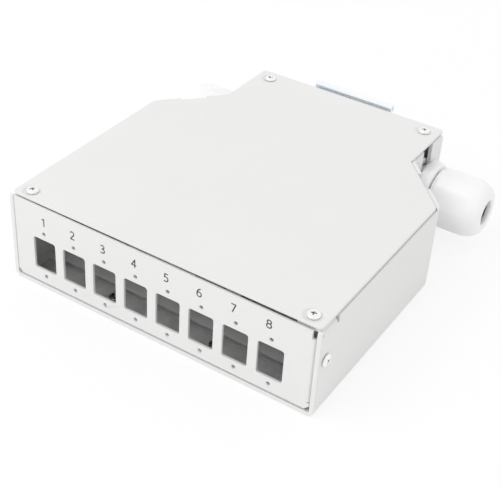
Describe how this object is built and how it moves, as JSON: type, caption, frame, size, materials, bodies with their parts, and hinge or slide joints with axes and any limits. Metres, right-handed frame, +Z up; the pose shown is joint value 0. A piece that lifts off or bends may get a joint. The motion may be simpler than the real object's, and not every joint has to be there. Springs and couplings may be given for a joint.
{
  "type": "din rail fibre box",
  "caption": "Flat bottle-shaped sheet-steel fibre splice box with a row of adapter cut-outs, a screwed cover, two cable glands and a rail clip.",
  "frame": {"origin": "centre of the housing's underside", "axes": "+X along the front panel to its right end, +Y from the panel to the rail clip, +Z up through the cover"},
  "size_m": [0.134, 0.1345, 0.0369],
  "materials": {
    "grey_paint": "fine-textured light grey powder coat, satin",
    "nickel_steel": "nickel-plated, bright",
    "zinc_steel": "zinc-plated, blue passivated",
    "spring_steel": "drawn wire, bright",
    "white_polyamide": "moulded, satin",
    "black_rubber": "matt",
    "comb_plastic": "moulded, satin"
  },
  "bodies": {
    "housing": {"base_tray": "grey_paint", "clip_screw_left": "nickel_steel", "clip_screw_right": "nickel_steel", "cover_screw_front_left": "nickel_steel", "cover_screw_front_right": "nickel_steel", "cover_screw_rear_left": "nickel_steel", "cover_screw_rear_right": "nickel_steel", "din_clip_plate": "zinc_steel", "front_panel": "grey_paint", "gland_body_left": "white_polyamide", "gland_body_right": "white_polyamide", "gland_gasket_left": "black_rubber", "gland_gasket_right": "black_rubber", "gland_lock_nut_left": "white_polyamide", "gland_lock_nut_right": "white_polyamide", "gland_seal_left": "black_rubber", "gland_seal_right": "black_rubber", "latch_spring": "spring_steel", "panel_foot_screw_left": "nickel_steel", "panel_foot_screw_right": "nickel_steel", "panel_side_screw_left": "nickel_steel", "panel_side_screw_right": "nickel_steel", "splice_comb": "comb_plastic", "splice_tray": "grey_paint", "top_cover": "grey_paint", "tray_screw_front_left": "nickel_steel", "tray_screw_front_right": "nickel_steel", "tray_screw_rear_left": "nickel_steel", "tray_screw_rear_right": "nickel_steel"},
    "cap_nut_left": {"gland_cap_nut_left": "white_polyamide"},
    "cap_nut_right": {"gland_cap_nut_right": "white_polyamide"},
    "latch": {"din_latch": "zinc_steel"}
  },
  "joints": [
    {"name": "latch_slide", "type": "slide", "parent": "housing", "child": "latch", "axis": [0, 0, -1], "range_m": [0, 0.0035], "stiffness_N_per_m": 1200, "springref_m": -0.002, "deforming": ["latch_spring"]},
    {"name": "cap_nut_turn_left", "type": "hinge", "parent": "housing", "child": "cap_nut_left", "pos_m": [-0.0572, 0.05145, 0.0157], "axis": [-1, 0, 0], "range_deg": [-360, 0]},
    {"name": "cap_nut_turn_right", "type": "hinge", "parent": "housing", "child": "cap_nut_right", "pos_m": [0.0572, 0.05145, 0.0157], "axis": [1, 0, 0], "range_deg": [-360, 0]}
  ]
}
